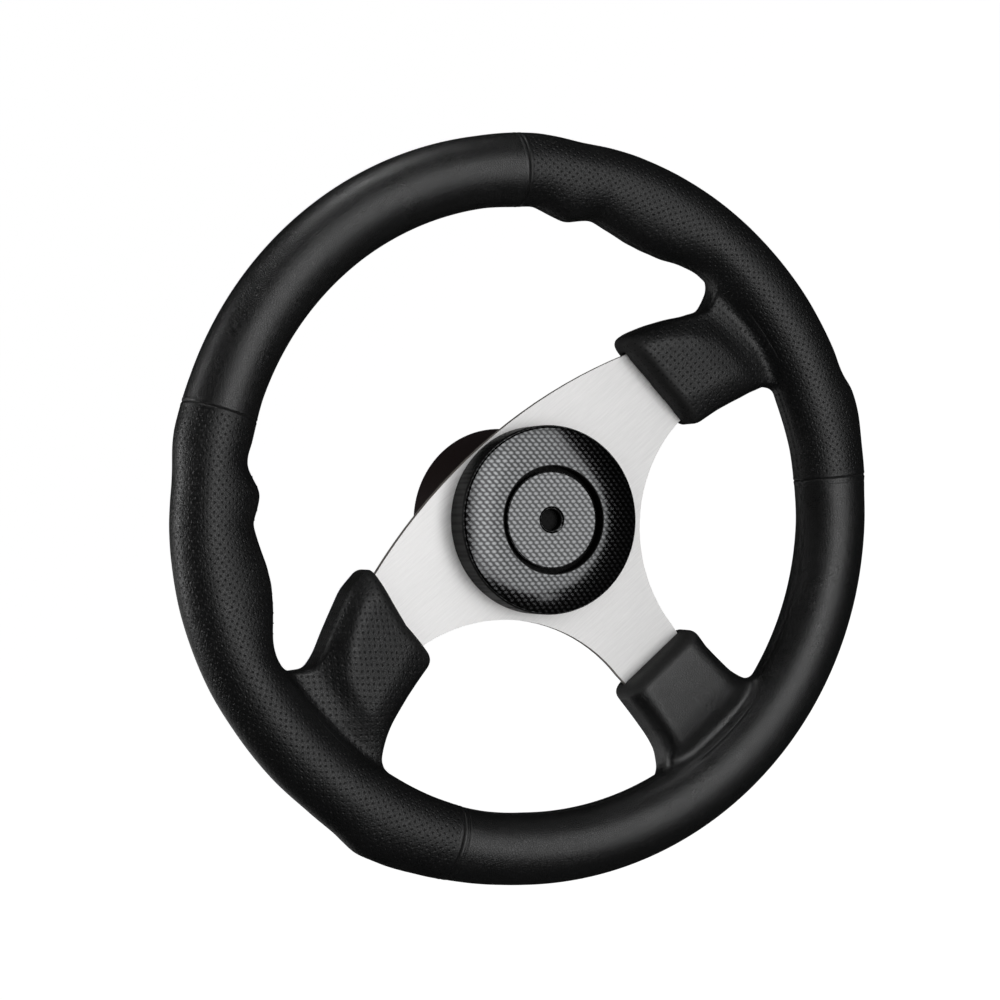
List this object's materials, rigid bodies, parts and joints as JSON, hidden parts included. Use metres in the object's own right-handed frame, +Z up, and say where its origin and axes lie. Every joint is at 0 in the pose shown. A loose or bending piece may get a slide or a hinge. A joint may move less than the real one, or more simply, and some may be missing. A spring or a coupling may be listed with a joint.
{
  "type": "boat steering wheel",
  "caption": "Three-spoke boat steering wheel with a leather-wrapped rim, moulded thumb grips, a flat metal spoke plate and a round pull-off hub cap.",
  "frame": {"origin": "on the shaft axis at the hub's back face, where the helm shaft enters", "axes": "+Y along the shaft into the helm, -Y towards the person steering, +Z up with the wheel straight, +X to that person's right"},
  "size_m": [0.3526, 0.0719, 0.35],
  "materials": {
    "leather_plain": "fine-grained black leather, satin",
    "leather_perforated": "black leather with rows of fine punched dots, satin",
    "core_metal": "plain drawn bar and weld bead",
    "brushed_plate": "fine straight brushing, clear anodised",
    "hub_casting": "cast, black-brown satin coating",
    "screw_steel": "stainless, plain",
    "retainer_plastic": "moulded, matt",
    "seal_rubber": "plain moulded ring",
    "cap_gloss": "dark fine dot weave under a clear gloss coat",
    "disc_gloss": "dark fine dot weave under a clear gloss coat"
  },
  "bodies": {
    "wheel": {"grip_top": "leather_plain", "grip_bottom": "leather_plain", "grip_right": "leather_perforated", "grip_left": "leather_perforated", "rim_core": "core_metal", "weld_left": "core_metal", "weld_right": "core_metal", "weld_bottom": "core_metal", "spoke_plate": "brushed_plate", "hub_adapter": "hub_casting", "hub_screw_1": "screw_steel", "hub_screw_2": "screw_steel", "hub_screw_3": "screw_steel", "hub_screw_4": "screw_steel", "hub_screw_5": "screw_steel", "hub_screw_6": "screw_steel", "cap_retainer": "retainer_plastic", "cap_seal": "seal_rubber"},
    "cap": {"cap_shell": "cap_gloss", "cap_disc": "disc_gloss"}
  },
  "joints": [
    {"name": "cap_pull", "type": "slide", "parent": "wheel", "child": "cap", "axis": [0, -1, 0], "range_m": [0, 0.04]}
  ]
}
